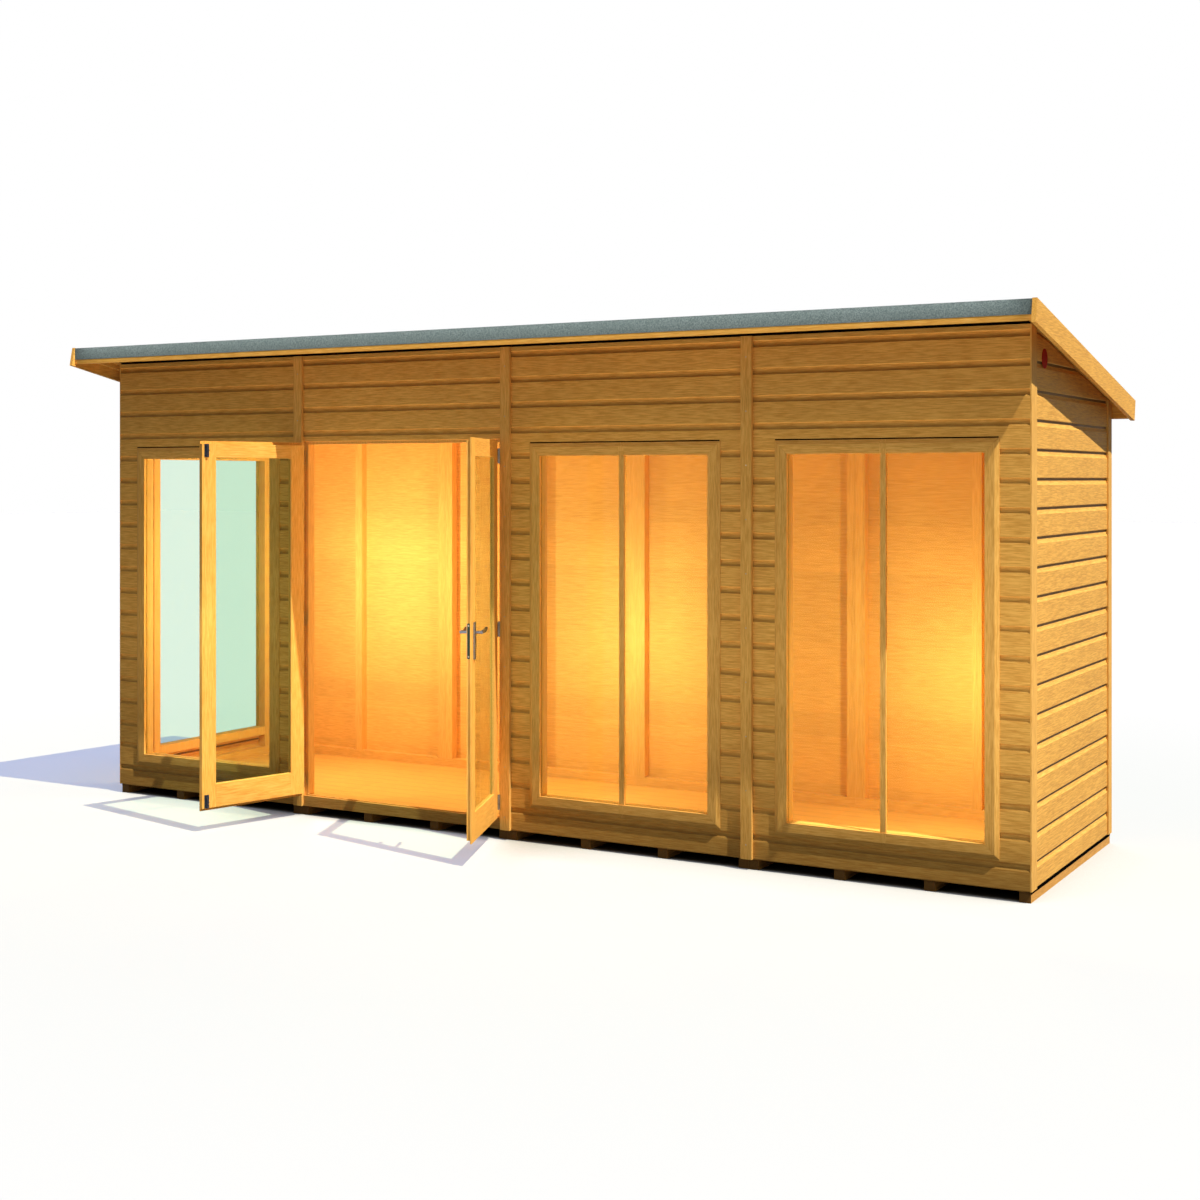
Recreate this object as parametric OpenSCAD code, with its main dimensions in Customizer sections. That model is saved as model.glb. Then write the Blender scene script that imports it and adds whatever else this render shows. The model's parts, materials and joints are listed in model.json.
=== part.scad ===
// Pent-roofed timber summerhouse: four wall panels wide, one deep, with a pair of
// glazed doors, a window in each other front panel and one in the left side wall.
// Millimetres. The origin is on the ground at the middle of the plan. The front
// faces -Y and +Z is up.

/* [Body] */
// Width of one front panel
panel_w = 1190; // [1120:10:1500]
// Depth of the body over the cladding
body_d = 1288; // [1180:4:2000]
// Height of the roof's underside above the face of the front wall
front_h = 2224; // [2120:4:2600]
// Pitch of the roof, in degrees
pitch = 11.15; // [6:0.05:15]
// Hair joint between neighbouring panels
panel_gap = 0.5; // [0.4:0.1:0.5]
// Hair joint where one batten butts on another
joint_gap = 0.4; // [0.3:0.1:0.5]

/* [Floor] */
// Width of a floor bearer
bearer_w = 45; // [30:1:60]
// Height of a floor bearer
bearer_h = 42; // [30:1:60]
// Thickness of the floor deck
deck_t = 12; // [9:1:18]

/* [Walls] */
// Thickness of the cladding
clad_t = 12; // [8:1:18]
// How far the cladding hangs below the top of the floor
clad_drop = 9; // [0:1:12]
// Gap between the top of the cladding and the roof
clad_head_gap = 8; // [5:1:15]
// Depth of the framing battens
batten_d = 45; // [32:1:60]
// Width of the framing battens
batten_w = 45; // [32:1:60]
// Width of the cover strips over the front panel joints
cover_w = 50; // [40:1:60]
// Thickness of the cover strips
cover_t = 15; // [10:1:20]
// Thickness of the corner strips
corner_t = 6; // [4:1:10]
// Width of the front corner strips
corner_front_w = 76; // [65:1:100]
// Width of the rear corner strips
corner_rear_w = 60; // [50:1:100]

/* [Windows] */
// Width of a window over its frame
window_w = 941; // [700:1:970]
// Height of a window over its frame
window_h = 1625; // [1000:5:1750]
// Height of the bottom of the window frame
window_z = 157; // [150:1:400]
// Face width of the window frame
sash_w = 56; // [50:1:70]
// How far the frame stands proud of the cladding
sash_proud = 10; // [6:1:14]
// Width of the sloped outer edge of the frame
sash_bevel = 17; // [8:1:24]
// Depth of the rebate that holds the glass
rebate_d = 5.5; // [5:0.5:8]
// Width of the rebates for glass
rebate_w = 8; // [6:1:12]
// Width of the middle glazing bar
bar_w = 24; // [16:1:34]
// Thickness of the glass
glass_t = 4; // [3:1:4]

/* [Doors] */
// Height of the top of the door leaves
door_top = 1798; // [1700:1:1850]
// Clearance round a closed leaf
door_gap = 5; // [4:1:8]
// Thickness of a door leaf
leaf_t = 22; // [20:1:28]
// Thickness of the lip that stands in front of a door's pane
leaf_lip = 9; // [8:1:10]
// Width of a door stile
stile_w = 75; // [60:1:90]
// Height of the top rail of a door
top_rail_h = 77; // [60:1:110]
// Height of the bottom rail of a door
bottom_rail_h = 120; // [90:1:200]
// Height of the threshold board above the ground
sill_top = 94; // [85:1:95]
// Thickness of the lip that a leaf's back layer leaves free
edge_lip = 6; // [5:1:7]
// Angle that the left leaf stands open, in degrees
left_open = 105.5; // [0:0.5:150]
// Angle that the right leaf stands open, in degrees
right_open = 112; // [0:0.5:150]

/* [Door furniture] */
// Length of a hinge
hinge_h = 68; // [50:1:90]
// Radius of a hinge knuckle
knuckle_r = 5; // [4:0.5:6]
// Radius of a hinge pin
hinge_pin_r = 2.4; // [2:0.1:2.8]
// Running clearance of the pin in its knuckle
pin_clear = 0.1; // [0.05:0.01:0.1]
// Height of the handle's spindle
handle_z = 980; // [900:5:1100]
// Length of the handle's backplate
plate_h = 158; // [140:1:180]
// Width of the handle's backplate
plate_w = 28; // [24:1:34]
// Length of the lever
lever_l = 96; // [85:1:115]
// Radius of the lever
lever_r = 7.5; // [6:0.5:9]
// How far the lever's axis stands off the backplate
lever_off = 27; // [22:1:45]
// Rise of the lever's cranked end, in degrees
lever_crank = 14; // [0:1:45]
// Distance of the spindle from the leaf's free edge
backset = 50; // [35:1:55]
// Length of a door bolt
bolt_l = 61; // [50:1:90]
// Width of a door bolt's plate
bolt_w = 24; // [20:1:30]
// Distance of a bolt's rod from the leaf's free edge
bolt_edge = 24; // [20:1:35]

/* [Roof] */
// Overhang of the roof in front of the wall
over_front = 241; // [150:1:300]
// Overhang of the roof behind the rear wall
over_rear = 73; // [50:1:150]
// Overhang of the roof at each end
over_side = 88; // [70:1:150]
// Thickness of the roof boarding
board_t = 12; // [9:1:18]
// Thickness of the felt
felt_t = 3; // [2:0.5:4]
// How far the felt is turned down over the fascias
felt_turn = 58; // [40:1:65]
// Thickness of the fascias
fascia_t = 18; // [12:1:22]
// Depth of the fascias below the felt
fascia_h = 76; // [70:1:110]
// Thickness of a bargeboard
barge_t = 18; // [12:1:22]
// Depth of a bargeboard
barge_h = 92; // [80:1:120]
// How far a bargeboard stands above the felt
barge_proud = 2.5; // [0:0.5:10]
// Side of the square battens under the roof's ends
edge_batten = 22; // [18:1:30]

/* [Hidden] */
$fn = 48;
panels = 4;
door_panel = 1;
panel_bearers = 4;
body_w = panels * panel_w;
front_y = -body_d / 2;
wall_t = clad_t + batten_d;
wall_x = body_w / 2 - corner_t;
inner_d = body_d - 2 * wall_t;
floor_z = bearer_h + deck_t;
clad_z0 = floor_z - clad_drop;
frame_z0 = floor_z + batten_w;
clad_top = front_h - clad_head_gap;
slope_gap = 0.4;
seat_gap = 0.1;
cut = 1;
barge_in = body_w / 2 + over_side - barge_t;
roof_end = barge_in - slope_gap;
eave_y = front_y - over_front;
rear_y = -front_y + over_rear;
felt_n = board_t + slope_gap;
barge_n = felt_n + felt_t + barge_proud;

// Glass: its bed in the rebate, and its play at the edges
glass_bed = 0.5;
glass_play = 1;

// Door set: the leaves fill the space between two cover strips
door_x0 = panel_x(door_panel) + cover_w / 2;
door_x1 = panel_x(door_panel + 1) - cover_w / 2;
leaf_w = (door_x1 - door_x0 - 3 * door_gap) / 2;
leaf_z0 = sill_top + door_gap;
leaf_h = door_top - leaf_z0;
door_head = door_top + door_gap;
leaf_back = clad_t - door_gap;
leaf_front = leaf_back - leaf_t;
free_x = door_x1 - door_gap - leaf_w;
head_lap = 8;

// Back layer of a leaf: it stops short of the head batten by the clearance of the
// doors, as far from the bottom, and short of the right leaf's free edge
layer_front = leaf_front + edge_lip;
back_inset = head_lap + door_gap;
free_inset = 7;

// Hinges: the pins stand just clear of the cover strips' faces
pin_stand = 0.5;
hinge_x = door_x0 + door_gap / 2;
hinge_v = -cover_t - knuckle_r - pin_stand;
hinge_plate_t = 2;
hinge_plate_d = 20;
knuckle_gap = 0.4;
hinge_inset = 105;

// Handle, with its spindle near the top of its backplates
spindle_r = 4;
spindle_play = 1;
neck_r = 6;
neck_play = 0.4;
neck_root = 1;
lever_bend = 0.66;
plate_t = 7;
plate_round = 9;
plate_rise = 43;
spindle_x = free_x + backset;

// Lock's face plate, let into the free edge of the right leaf
lock_h = 150;
lock_w = 12;
lock_t = 3;
lock_round = 5;
lock_drop = 35;
lock_play = 0.3;

// Bolts, which end with the back layer of their leaf
bolt_plate_t = 2;
bolt_rod_r = 4;
bolt_rod_sink = 0.5;
bolt_guide_w = 14;
bolt_guide_h = 9;
bolt_guide_t = 1.5;
bolt_guide_inset = 12;
bolt_knob_r = 3;
bolt_knob_h = 15;

// Left edge of panel i, counted from the left end of the front
function panel_x(i) = (i - panels / 2) * panel_w;
// Ends of panel i, with its share of the hair joints and of the corner strips
function panel_a(i) = i == 0 ? -wall_x : panel_x(i) + panel_gap / 2;
function panel_b(i) = i == panels - 1 ? wall_x : panel_x(i + 1) - panel_gap / 2;
function panel_mid(i) = panel_x(i) + panel_w / 2;
// Height of the roof's underside at depth y, and of a layer n above it
function under(y) = front_h - (y - front_y) * tan(pitch);
function lift(y, n) = under(y) + n / cos(pitch);
// Point s along the slope and n above the underside, as [y, z]
function roof_pt(s, n) = [
    front_y + s * cos(pitch) + n * sin(pitch),
    front_h - s * sin(pitch) + n * cos(pitch)
];

// A [y, z] outline drawn out along X
module along_x(x0, x1) {
    translate([x0, 0, 0])
        rotate([90, 0, 90])
            linear_extrude(x1 - x0)
                children();
}

// A box between two corners
module span(a, b) {
    translate(a)
        cube(b - a);
}

// Wall frames of reference: X along the wall, Y inwards from its face, Z up
module on_front() {
    translate([0, front_y, 0])
        children();
}
module on_rear() {
    translate([0, -front_y, 0])
        rotate([0, 0, 180])
            children();
}
module on_left() {
    translate([-wall_x, 0, 0])
        rotate([0, 0, -90])
            children();
}
module on_right() {
    translate([wall_x, 0, 0])
        rotate([0, 0, 90])
            children();
}

// ---- Floor ----
module floor_bearers() {
    color("#8c6a38")
    for (i = [0 : panels - 1])
        for (k = [0 : panel_bearers - 1]) {
            pitch_x = (panel_b(i) - panel_a(i) - bearer_w) / (panel_bearers - 1);
            x = panel_a(i) + k * pitch_x;
            span([x, front_y + clad_t, 0], [x + bearer_w, -front_y - clad_t, bearer_h]);
        }
}

module floor_decks() {
    color("#d9a558")
    for (i = [0 : panels - 1])
        span([max(panel_a(i), clad_t - wall_x), front_y + clad_t, bearer_h],
             [min(panel_b(i), wall_x - clad_t), -front_y - clad_t, floor_z]);
}

// ---- Cladding ----
// Hole for a window centred at u in a wall's own frame
module window_hole(u) {
    half = window_w / 2 + joint_gap;
    span([u - half, -cut, window_z - joint_gap],
         [u + half, clad_t + cut, window_z + window_h + joint_gap]);
}

module front_cladding(i) {
    color("#c08a45")
    on_front()
    difference() {
        span([panel_a(i), 0, clad_z0], [panel_b(i), clad_t, clad_top]);
        window_hole(panel_mid(i));
    }
}

module front_cladding_over_door() {
    color("#c08a45")
    on_front()
        span([panel_a(door_panel), 0, door_head],
             [panel_b(door_panel), clad_t, clad_top]);
}

module rear_cladding() {
    color("#c08a45")
    for (i = [0 : panels - 1])
        span([panel_a(i), -front_y - clad_t, clad_z0],
             [panel_b(i), -front_y, under(-front_y) - clad_head_gap]);
}

// Sloping-topped side cladding between the end walls, drawn on the right
module side_cladding() {
    y1 = inner_d / 2;
    along_x(wall_x - clad_t, wall_x)
        polygon([
            [-y1, clad_z0], [y1, clad_z0],
            [y1, under(y1) - clad_head_gap], [-y1, under(-y1) - clad_head_gap]
        ]);
}

module left_cladding() {
    color("#e0a95a")
    difference() {
        mirror([1, 0, 0])
            side_cladding();
        on_left()
            window_hole(0);
    }
}

module right_cladding() {
    color("#e0a95a")
        side_cladding();
}

// ---- Wall framing ----
// Upright batten from u0 in a wall's own frame
module stud(u0, z0, z1) {
    span([u0, clad_t, z0], [u0 + batten_w, wall_t, z1]);
}
// Level batten between u0 and u1 with its underside at z0
module noggin(u0, u1, z0) {
    span([u0, clad_t, z0], [u1, wall_t, z0 + batten_w]);
}

// Battens round a window centred at u: two trimmers, a head and a sill batten
module window_battens(u, z0, z1) {
    hole = window_w / 2 - sash_w;
    stud(u - hole - batten_w, z0, z1);
    stud(u + hole, z0, z1);
    noggin(u - hole + joint_gap, u + hole - joint_gap, window_z + sash_w - batten_w);
    noggin(u - hole + joint_gap, u + hole - joint_gap, window_z + window_h - sash_w);
}

// Bevelled top rail of a front or rear wall, under the roof
module plate(xa, xb, y0, y1, z0) {
    along_x(xa, xb)
        polygon([
            [y0, z0], [y1, z0],
            [y1, under(y1) - slope_gap], [y0, under(y0) - slope_gap]
        ]);
}

front_plate_z = under(front_y + wall_t) - batten_w;
rear_plate_z = under(-front_y - clad_t) - batten_w;

module front_frame(i) {
    a = panel_a(i);
    b = panel_b(i);
    z0 = frame_z0 + joint_gap;
    z1 = front_plate_z - joint_gap;
    color("#c99552") {
        on_front() {
            noggin(a, b, floor_z);
            stud(a, z0, z1);
            stud(b - batten_w, z0, z1);
            window_battens(panel_mid(i), z0, z1);
        }
        plate(a, b, front_y + clad_t, front_y + wall_t, front_plate_z);
    }
}

// Framing of the doorway: posts, head, cripple stud and threshold batten
module front_frame_door() {
    a = panel_a(door_panel);
    b = panel_b(door_panel);
    z0 = frame_z0 + joint_gap;
    z1 = front_plate_z - joint_gap;
    head_z = door_top - head_lap;
    mid = panel_mid(door_panel) - batten_w / 2;
    color("#c99552") {
        on_front() {
            noggin(a, b, floor_z);
            stud(a, z0, z1);
            stud(b - batten_w, z0, z1);
            noggin(a + batten_w + joint_gap, b - batten_w - joint_gap, head_z);
            stud(mid, head_z + batten_w + joint_gap, z1);
        }
        plate(a, b, front_y + clad_t, front_y + wall_t, front_plate_z);
    }
}

module rear_frame() {
    z0 = frame_z0 + joint_gap;
    z1 = rear_plate_z - joint_gap;
    color("#c99552")
    for (i = [0 : panels - 1]) {
        a = panel_a(i);
        b = panel_b(i);
        mid = (a + b - batten_w) / 2;
        on_rear() {
            noggin(-b, -a, floor_z);
            stud(-b, z0, z1);
            stud(-mid - batten_w, z0, z1);
            stud(-a - batten_w, z0, z1);
        }
        plate(a, b, -front_y - wall_t, -front_y - clad_t, rear_plate_z);
    }
}

// Side framing, drawn on the right: rails, three studs with sloped heads
module side_stud(y0, z0) {
    y1 = y0 + batten_w;
    drop = batten_w + slope_gap + joint_gap;
    along_x(wall_x - wall_t, wall_x - clad_t)
        polygon([[y0, z0], [y1, z0], [y1, under(y1) - drop], [y0, under(y0) - drop]]);
}

module side_frame(with_window) {
    y1 = inner_d / 2 - joint_gap;
    z0 = frame_z0 + joint_gap;
    hole = window_w / 2 - sash_w;
    along_x(wall_x - wall_t, wall_x - clad_t) {
        polygon([[-y1, floor_z], [y1, floor_z], [y1, frame_z0], [-y1, frame_z0]]);
        polygon([
            [-y1, under(-y1) - slope_gap - batten_w], [y1, under(y1) - slope_gap - batten_w],
            [y1, under(y1) - slope_gap], [-y1, under(-y1) - slope_gap]
        ]);
    }
    side_stud(-y1, z0);
    side_stud(y1 - batten_w, z0);
    if (with_window) {
        side_stud(-hole - batten_w, z0);
        side_stud(hole, z0);
        on_right() {
            noggin(-hole + joint_gap, hole - joint_gap, window_z + sash_w - batten_w);
            noggin(-hole + joint_gap, hole - joint_gap, window_z + window_h - sash_w);
        }
    } else {
        side_stud(-batten_w / 2, z0);
    }
}

module left_frame() {
    color("#c99552")
    mirror([1, 0, 0])
        side_frame(true);
}

module right_frame() {
    color("#c99552")
        side_frame(false);
}

// ---- Windows ----
// A mitred board along the bottom of a w by h ring round the origin, between two
// depths
module mitred(w, h, board_w, v0, v1) {
    a = w / 2 - joint_gap;
    b = a - board_w;
    rotate([90, 0, 0])
        translate([0, 0, -v1])
            linear_extrude(v1 - v0)
                polygon([[-a, -h / 2], [a, -h / 2], [b, board_w - h / 2], [-b, board_w - h / 2]]);
}

// One member of a window frame. Its face is proud of the wall, with a sloped outer
// edge, and its back is rebated for the glass.
module sash_member(w, h) {
    edge_proud = 2;
    slope = atan2(sash_proud - edge_proud, sash_bevel);
    difference() {
        mitred(w, h, sash_w, -sash_proud, clad_t);
        // rebate for the glass, at the back
        span([-w / 2, clad_t - rebate_d, -h / 2 + sash_w - rebate_w],
             [w / 2, clad_t + cut, -h / 2 + sash_w + cut]);
        // sloped outer edge
        translate([-w / 2 - cut, -edge_proud, -h / 2])
            rotate([slope, 0, 0])
                translate([0, -2 * sash_proud, -sash_proud])
                    cube([w + 2 * cut, 2 * sash_proud, 3 * sash_bevel]);
    }
}

// Four mitred members and the middle bar, centred at u in a wall's own frame
module window_frame(u) {
    bar_h = window_h - 2 * sash_w - 2 * joint_gap;
    bar_inset = 4;
    translate([u, 0, window_z + window_h / 2]) {
        for (turn = [0, 180])
            rotate([0, turn, 0])
                sash_member(window_w, window_h);
        for (turn = [90, 270])
            rotate([0, turn, 0])
                sash_member(window_h, window_w);
        span([-bar_w / 2, bar_inset - sash_proud, -bar_h / 2],
             [bar_w / 2, clad_t - rebate_d, bar_h / 2]);
    }
}

// Glass of one window, in the rebate of its frame
module window_glass(u) {
    lap = sash_w - rebate_w + glass_play;
    v0 = clad_t - rebate_d + glass_bed;
    span([u - window_w / 2 + lap, v0, window_z + lap],
         [u + window_w / 2 - lap, v0 + glass_t, window_z + window_h - lap]);
}

module front_window_frame(i) {
    color("#b5823f")
    on_front()
        window_frame(panel_mid(i));
}

module window_frame_left() {
    color("#b5823f")
    on_left()
        window_frame(0);
}

module window_glass_front() {
    color([0.8, 0.93, 0.86, 0.4])
    on_front()
        for (i = [0, 2, 3])
            window_glass(panel_mid(i));
}

module window_glass_left() {
    color([0.8, 0.93, 0.86, 0.4])
    on_left()
        window_glass(0);
}

// ---- Strips and door surround ----
module front_cover_strips() {
    color("#b5823f")
    on_front()
        for (i = [1 : panels - 1])
            span([panel_x(i) - cover_w / 2, -cover_t, clad_z0],
                 [panel_x(i) + cover_w / 2, 0, clad_top]);
}

module corner_strip(y0, y1) {
    along_x(wall_x, wall_x + corner_t)
        polygon([
            [y0, clad_z0], [y1, clad_z0],
            [y1, under(y1) - clad_head_gap], [y0, under(y0) - clad_head_gap]
        ]);
}

module corner_strips() {
    color("#e0a95a")
    for (side = [0, 1])
        mirror([side, 0, 0]) {
            corner_strip(front_y, front_y + corner_front_w);
            corner_strip(-front_y - corner_rear_w, -front_y);
        }
}

// Lining boards beside the doors, flush with the cladding
module door_jambs() {
    z0 = sill_top + joint_gap;
    z1 = door_head - joint_gap;
    color("#b5823f")
    on_front() {
        span([panel_a(door_panel), 0, z0], [door_x0, clad_t, z1]);
        span([door_x1, 0, z0], [panel_b(door_panel), clad_t, z1]);
    }
}

module door_sill() {
    color("#8f6a35")
    on_front()
        span([panel_a(door_panel), 0, clad_z0], [panel_b(door_panel), clad_t, sill_top]);
}

// ---- Doors ----
// Heights of the middle of each hinge
function hinge_zs() = [
    leaf_z0 + hinge_inset - hinge_h / 2,
    leaf_z0 + leaf_h / 2,
    door_top - hinge_inset + hinge_h / 2
];

// Swings what is drawn closed to where the leaves stand open: the left leaf turns
// about its left edge, and the right one is its mirror image
module swung(x, turn) {
    translate([x, front_y + hinge_v, 0])
        rotate([0, 0, turn])
            translate([-x, -front_y - hinge_v, 0])
                children();
}
module left_swung() {
    swung(hinge_x, -left_open)
        children();
}
module right_swung() {
    swung(door_x0 + door_x1 - hinge_x, right_open)
        children();
}
module mirror_to_right() {
    translate([door_x0 + door_x1, 0, 0])
        mirror([1, 0, 0])
            children();
}

// Stiles and rails of the closed left leaf, rebated at the back for the pane and
// along the top and the bottom
module leaf() {
    x0 = door_x0 + door_gap;
    x1 = x0 + leaf_w;
    z1 = leaf_z0 + bottom_rail_h;
    z2 = door_top - top_rail_h;
    g = joint_gap;
    on_front() {
        difference() {
            union() {
                span([x0, leaf_front, leaf_z0], [x0 + stile_w, leaf_back, door_top]);
                span([x1 - stile_w, leaf_front, leaf_z0], [x1, leaf_back, door_top]);
                span([x0 + stile_w + g, leaf_front, leaf_z0],
                     [x1 - stile_w - g, leaf_back, z1]);
                span([x0 + stile_w + g, leaf_front, z2],
                     [x1 - stile_w - g, leaf_back, door_top]);
            }
            span([x0 + stile_w - rebate_w, leaf_front + leaf_lip, z1 - rebate_w],
                 [x1 - stile_w + rebate_w, leaf_back + cut, z2 + rebate_w]);
            for (z = [leaf_z0 - cut, door_top - back_inset])
                span([x0 - cut, layer_front, z],
                     [x1 + cut, leaf_back + cut, z + back_inset + cut]);
        }
        leaf_beads((x0 + x1) / 2, (z1 + z2) / 2, leaf_w - 2 * stile_w, z2 - z1);
    }
}

// Mitred beads that hold the pane in a leaf's rebate, round a w by h opening
module leaf_beads(x, z, w, h) {
    ring_w = w + 2 * (rebate_w - joint_gap);
    ring_h = h + 2 * (rebate_w - joint_gap);
    translate([x, 0, z]) {
        for (turn = [0, 180])
            rotate([0, turn, 0])
                leaf_bead(ring_w, ring_h);
        for (turn = [90, 270])
            rotate([0, turn, 0])
                leaf_bead(ring_h, ring_w);
    }
}

// One bead along the bottom of its ring, with its inner arris taken off
module leaf_bead(w, h) {
    bead_w = rebate_w - joint_gap;
    v0 = leaf_front + leaf_lip + glass_bed + glass_t + seat_gap;
    arris = 2;
    difference() {
        mitred(w, h, bead_w, v0, leaf_back);
        translate([-w / 2, leaf_back, bead_w - h / 2])
            rotate([45, 0, 0])
                translate([0, -arris * sqrt(0.5), -arris])
                    cube([w, 2 * arris, 2 * arris]);
    }
}

// Pane of the closed left leaf
module leaf_pane() {
    x0 = door_x0 + door_gap;
    lap = stile_w - rebate_w + glass_play;
    v0 = leaf_front + leaf_lip + glass_bed;
    z1 = leaf_z0 + bottom_rail_h - rebate_w + glass_play;
    z2 = door_top - top_rail_h + rebate_w - glass_play;
    on_front()
        span([x0 + lap, v0, z1], [x0 + leaf_w - lap, v0 + glass_t, z2]);
}

// Ring or rod of a hinge about its pin, between two heights
module barrel(r, z0, z1) {
    translate([hinge_x, hinge_v, z0])
        cylinder(r = r, h = z1 - z0);
}

// Plate of a hinge against the edge at x, between two heights
module hinge_plate(x, z0, z1) {
    span([x, hinge_v, z0], [x + hinge_plate_t, hinge_v + knuckle_r + hinge_plate_d, z1]);
}

// Fixed half of a butt hinge: plate, end knuckles and pin
module hinge_fixed(z) {
    z0 = z - hinge_h / 2;
    z1 = z + hinge_h / 2;
    half_knuckle = hinge_h / 6 + knuckle_gap;
    pin_inset = 1;
    on_front() {
        difference() {
            union() {
                hinge_plate(door_x0, z0, z1);
                barrel(knuckle_r, z0, z1);
            }
            barrel(knuckle_r + knuckle_gap, z - half_knuckle, z + half_knuckle);
        }
        barrel(hinge_pin_r, z0 + pin_inset, z1 - pin_inset);
    }
}

// Moving half: plate and middle knuckle, bored for the pin
module hinge_moving(z) {
    z0 = z - hinge_h / 2;
    z1 = z + hinge_h / 2;
    half_knuckle = hinge_h / 6;
    clear_r = knuckle_r + knuckle_gap;
    on_front()
    difference() {
        union() {
            hinge_plate(door_x0 + door_gap - seat_gap - hinge_plate_t, z0, z1);
            barrel(knuckle_r, z - half_knuckle, z + half_knuckle);
        }
        barrel(clear_r, z0 - cut, z - half_knuckle);
        barrel(clear_r, z + half_knuckle, z1 + cut);
        barrel(hinge_pin_r + pin_clear, z0 - cut, z1 + cut);
    }
}

module door_hinge_posts() {
    color("#b9b9b4") {
        for (z = hinge_zs())
            hinge_fixed(z);
        mirror_to_right()
            for (z = hinge_zs())
                hinge_fixed(z);
    }
}

module door_left_hinges() {
    color("#b9b9b4")
    left_swung()
        for (z = hinge_zs())
            hinge_moving(z);
}

module door_right_hinges() {
    color("#b9b9b4")
    right_swung()
        mirror_to_right()
            for (z = hinge_zs())
                hinge_moving(z);
}

module door_left_leaf() {
    color("#f0b862")
    left_swung()
        leaf();
}

module door_left_pane() {
    color([0.8, 0.93, 0.86, 0.4])
    left_swung()
        leaf_pane();
}

// Upright plate with round ends, centred at u and z, between two depths
module round_plate(u, z, w, h, r, v0, v1) {
    translate([u, v1, z])
        rotate([90, 0, 0])
            linear_extrude(v1 - v0) {
                square([w, h - 2 * r], center = true);
                square([w - 2 * r, h], center = true);
                for (i = [-1, 1], j = [-1, 1])
                    translate([i * (w / 2 - r), j * (h / 2 - r)])
                        circle(r = r);
            }
}

// Lock's face plate in the back layer's free edge, smaller than its recess by the play all round,
// between two depths measured outwards
module lock_plate(play, v0, v1) {
    translate([free_x + free_inset, (layer_front + leaf_back) / 2, handle_z - lock_drop])
        rotate([0, 0, 90])
            round_plate(0, 0, lock_w - 2 * play, lock_h - 2 * play, lock_round - play, v0, v1);
}

// The right leaf is also rebated along its free edge, bored for the handle's spindle
// and let in for the lock
module door_right_leaf() {
    color("#f0b862")
    right_swung()
    difference() {
        mirror_to_right()
            leaf();
        on_front() {
            translate([spindle_x, leaf_back + cut, handle_z])
                rotate([90, 0, 0])
                    cylinder(r = spindle_r + spindle_play, h = leaf_t + 2 * cut);
            span([free_x - cut, layer_front, leaf_z0 - cut],
                 [free_x + free_inset, leaf_back + cut, door_top + cut]);
            lock_plate(0, -lock_t, cut);
        }
    }
}

module door_right_pane() {
    color([0.8, 0.93, 0.86, 0.4])
    right_swung()
        mirror_to_right()
            leaf_pane();
}

// A bolt on the closed left leaf, its rod along the free stile:
// back plate, two guides and a rod with a knob
module door_bolt(z) {
    x = door_x0 + door_gap + leaf_w - bolt_edge;
    v0 = leaf_back + seat_gap;
    v1 = leaf_back + bolt_plate_t;
    rod_v = v1 + bolt_rod_r - bolt_rod_sink;
    guide_v = rod_v + bolt_rod_r + bolt_guide_t;
    span([x - bolt_w / 2, v0, z], [x + bolt_w / 2, v1, z + bolt_l]);
    for (mid_z = [z + bolt_guide_inset, z + bolt_l - bolt_guide_inset])
        span([x - bolt_guide_w / 2, v0, mid_z - bolt_guide_h / 2],
             [x + bolt_guide_w / 2, guide_v, mid_z + bolt_guide_h / 2]);
    translate([x, rod_v, z])
        cylinder(r = bolt_rod_r, h = bolt_l);
    translate([x, rod_v, z + bolt_l / 2])
        rotate([-90, 0, 0])
            cylinder(r = bolt_knob_r, h = bolt_knob_h);
}

// Bolts at both ends of the left leaf's free stile
module door_left_bolts() {
    color("#3c4350")
    left_swung()
    on_front()
    for (z = [leaf_z0 + back_inset, door_top - bolt_l - back_inset])
        door_bolt(z);
}

module door_right_lock() {
    color("#2f4a38")
    right_swung()
    on_front()
        lock_plate(lock_play, lock_play - lock_t, 0);
}

// Long backplates of the lever handles, outside and inside
module door_right_plates() {
    mid_z = handle_z + plate_rise - plate_h / 2;
    color("#9aa0a6")
    right_swung()
    on_front()
    for (v = [leaf_front - plate_t - seat_gap, leaf_back + seat_gap])
        difference() {
            round_plate(spindle_x, mid_z, plate_w, plate_h, plate_round, v, v + plate_t);
            translate([spindle_x, v + plate_t + cut, handle_z])
                rotate([90, 0, 0])
                    cylinder(r = neck_r + neck_play, h = plate_t + 2 * cut);
        }
}

// One lever: a neck from depth v out by dir, then an arm with a cranked end
module lever(v, dir) {
    tip_v = v + dir * lever_off;
    bend = lever_bend * lever_l;
    translate([spindle_x, 0, handle_z]) {
        translate([0, min(v, tip_v), 0])
            rotate([-90, 0, 0])
                cylinder(r = neck_r, h = lever_off);
        translate([0, tip_v, 0]) {
            lever_bar(bend);
            translate([bend, 0, 0])
                rotate([0, -lever_crank, 0])
                    lever_bar(lever_l - bend);
        }
    }
}

// Straight length of a lever with round ends
module lever_bar(length) {
    sphere(r = lever_r);
    rotate([0, 90, 0])
        cylinder(r = lever_r, h = length);
    translate([length, 0, 0])
        sphere(r = lever_r);
}

module door_right_levers() {
    v0 = leaf_front - plate_t;
    v1 = leaf_back + plate_t;
    color("#b9bcc0")
    right_swung()
    on_front() {
        lever(v0 + neck_root, -1);
        lever(v1 - neck_root, 1);
        translate([spindle_x, v0, handle_z])
            rotate([-90, 0, 0])
                cylinder(r = spindle_r, h = v1 - v0);
    }
}

// ---- Roof ----
// A layer of the roof between two depths and two heights above the underside
module roof_layer(y0, y1, n0, n1) {
    polygon([[y0, lift(y0, n0)], [y1, lift(y1, n0)], [y1, lift(y1, n1)], [y0, lift(y0, n1)]]);
}

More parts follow.
